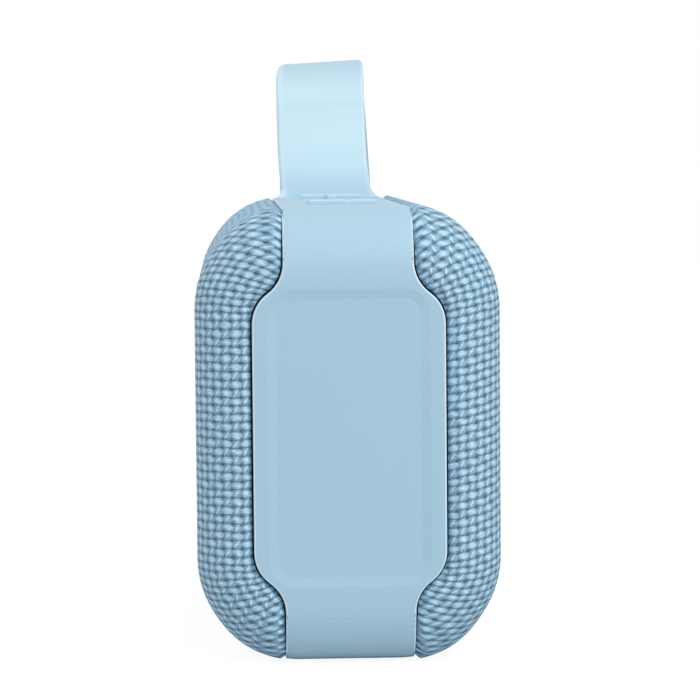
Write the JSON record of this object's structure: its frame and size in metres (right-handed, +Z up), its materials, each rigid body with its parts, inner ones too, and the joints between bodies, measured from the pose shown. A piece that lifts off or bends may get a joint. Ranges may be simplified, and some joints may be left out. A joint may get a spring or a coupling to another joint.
{
  "type": "portable bluetooth speaker",
  "caption": "Small cloth-covered wireless speaker with a moulded belt, end plates and a wrist strap loop.",
  "frame": {"origin": "centre of the flat underside of the belt, on the surface that the speaker stands on", "axes": "+X along the body towards the end that carries the wrist strap, +Y towards the back with the charging socket, +Z up"},
  "size_m": [0.1377, 0.0605, 0.1219],
  "materials": {
    "belt_silicone": "matte moulded silicone",
    "strap_silicone": "soft satin silicone",
    "key_silicone": "matte moulded silicone",
    "woven_cloth": "thick plain weave",
    "grille_plastic": "moulded grain",
    "case_plastic": "moulded grain",
    "frame_steel": "satin black paint",
    "ferrite": "dull sintered ferrite",
    "bare_steel": "turned, zinc plated",
    "cone_paper": "pressed paper",
    "rubber_black": "matte rubber",
    "spider_cloth": "resin treated cloth",
    "copper": "enamelled copper wire",
    "board_laminate": "solder mask",
    "board_black": "moulded epoxy",
    "plunger_plastic": "moulded nylon",
    "ribbon_film": "polyimide film",
    "light_clear": "frosted light guide",
    "cell_wrap": "shrink film"
  },
  "bodies": {
    "housing": {"belt": "belt_silicone", "wrist_strap": "strap_silicone", "front_cloth": "woven_cloth", "rear_cloth": "woven_cloth", "front_grille": "grille_plastic", "rear_grille": "grille_plastic", "front_case": "case_plastic", "rear_case": "case_plastic", "case_gasket": "rubber_black", "case_screws": "bare_steel", "left_frame": "frame_steel", "left_magnet": "ferrite", "left_yoke": "bare_steel", "left_surround": "rubber_black", "left_spider": "spider_cloth", "right_frame": "frame_steel", "right_magnet": "ferrite", "right_yoke": "bare_steel", "right_surround": "rubber_black", "right_spider": "spider_cloth", "driver_screws": "bare_steel", "radiator_frame": "frame_steel", "radiator_surround": "rubber_black", "key_board": "board_laminate", "key_board_screws": "bare_steel", "key_switches": "board_black", "main_board": "board_laminate", "board_parts": "board_black", "board_screws": "bare_steel", "board_ribbon": "ribbon_film", "usb_socket": "bare_steel", "side_switches": "board_black", "port_panel": "belt_silicone", "status_light": "light_clear", "battery_cells": "cell_wrap", "battery_tray": "case_plastic", "battery_strap": "rubber_black"},
    "minus_button": {"minus_key": "key_silicone", "minus_plunger": "plunger_plastic"},
    "play_button": {"play_key": "key_silicone", "play_plunger": "plunger_plastic"},
    "plus_button": {"plus_key": "key_silicone", "plus_plunger": "plunger_plastic"},
    "power_button": {"power_key": "key_silicone", "power_plunger": "plunger_plastic"},
    "pair_button": {"pair_key": "key_silicone", "pair_plunger": "plunger_plastic"},
    "flap": {"port_flap": "key_silicone"},
    "left_motion": {"left_cone": "cone_paper", "left_coil": "copper"},
    "right_motion": {"right_cone": "cone_paper", "right_coil": "copper"},
    "radiator_motion": {"radiator_plate": "bare_steel"}
  },
  "joints": [
    {"name": "minus_press", "type": "slide", "parent": "housing", "child": "minus_button", "axis": [0, 0, -1], "range_m": [0, 0.0005], "stiffness_N_per_m": 1200},
    {"name": "play_press", "type": "slide", "parent": "housing", "child": "play_button", "axis": [0, 0, -1], "range_m": [0, 0.0005], "stiffness_N_per_m": 1200},
    {"name": "plus_press", "type": "slide", "parent": "housing", "child": "plus_button", "axis": [0, 0, -1], "range_m": [0, 0.0005], "stiffness_N_per_m": 1200},
    {"name": "power_press", "type": "slide", "parent": "housing", "child": "power_button", "axis": [0, -1, 0], "range_m": [0, 0.0005], "stiffness_N_per_m": 1200},
    {"name": "pair_press", "type": "slide", "parent": "housing", "child": "pair_button", "axis": [0, -1, 0], "range_m": [0, 0.0005], "stiffness_N_per_m": 1200},
    {"name": "flap_hinge", "type": "hinge", "parent": "housing", "child": "flap", "pos_m": [0.0201, 0.0301, 0.0666], "axis": [0, 0, -1], "range_deg": [0, 120]},
    {"name": "left_cone_travel", "type": "slide", "parent": "housing", "child": "left_motion", "axis": [0, -1, 0], "range_m": [-0.002, 0.002], "stiffness_N_per_m": 1100, "deforming": ["left_surround", "left_spider"]},
    {"name": "right_cone_travel", "type": "slide", "parent": "housing", "child": "right_motion", "axis": [0, -1, 0], "range_m": [-0.002, 0.002], "stiffness_N_per_m": 1100, "deforming": ["right_surround", "right_spider"]},
    {"name": "radiator_travel", "type": "slide", "parent": "housing", "child": "radiator_motion", "axis": [0, 1, 0], "range_m": [-0.0025, 0.0025], "stiffness_N_per_m": 900, "deforming": ["radiator_surround"]}
  ]
}
